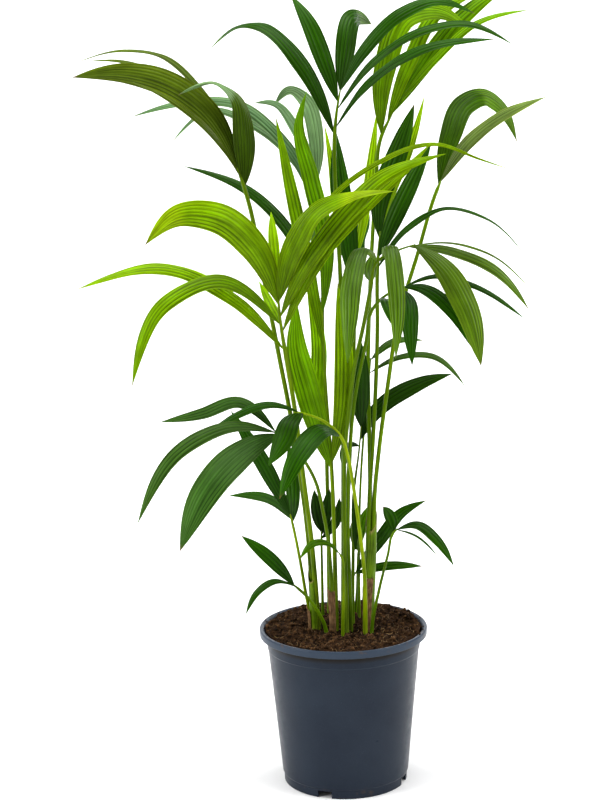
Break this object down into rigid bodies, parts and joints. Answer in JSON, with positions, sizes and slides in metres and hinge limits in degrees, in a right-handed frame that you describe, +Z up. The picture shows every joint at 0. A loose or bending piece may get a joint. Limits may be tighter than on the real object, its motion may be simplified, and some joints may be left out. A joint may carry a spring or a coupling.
{
  "type": "potted palm",
  "caption": "Feather palm in a round plastic nursery pot of soil: arching fronds of narrow pleated leaflets on slim green stalks.",
  "frame": {"origin": "middle of the underside of the pot, on the surface it stands on", "axes": "+Z up along the pot's axis, -Y towards the front, +X to the right seen from the front"},
  "size_m": [0.5755, 0.3912, 0.9999],
  "materials": {
    "pot": "smooth slate blue-grey moulded plastic with a soft sheen",
    "soil": "loose dark brown peat with pale fibres",
    "leaf": "satin green leaf with fine lengthwise ribs",
    "leaf_sheath": "smooth green leaf base",
    "old_sheath": "dry brown papery fibre"
  },
  "bodies": {
    "root": {"pot": "pot", "soil": "soil", "leaf_sheath_left": "leaf_sheath", "leaf_sheath_right": "leaf_sheath", "leaf_sheath_back": "leaf_sheath", "old_sheath_left": "old_sheath", "old_sheath_middle": "old_sheath", "old_sheath_right": "old_sheath", "frond_bright_left": "leaf", "frond_bright_centre": "leaf", "frond_top_centre": "leaf", "frond_top_right": "leaf", "frond_right": "leaf", "frond_upper_left": "leaf", "frond_back_left": "leaf", "frond_right_tall": "leaf", "frond_centre_back": "leaf", "frond_right_arching": "leaf", "frond_right_drooping": "leaf", "frond_right_slender": "leaf", "frond_low_right": "leaf", "frond_low_left": "leaf", "frond_low_centre": "leaf", "frond_left_lower": "leaf", "frond_bottom_left": "leaf", "frond_small_centre": "leaf", "frond_bottom_right": "leaf", "frond_back_right": "leaf", "frond_small_back": "leaf", "frond_inner_left": "leaf"}
  },
  "joints": []
}
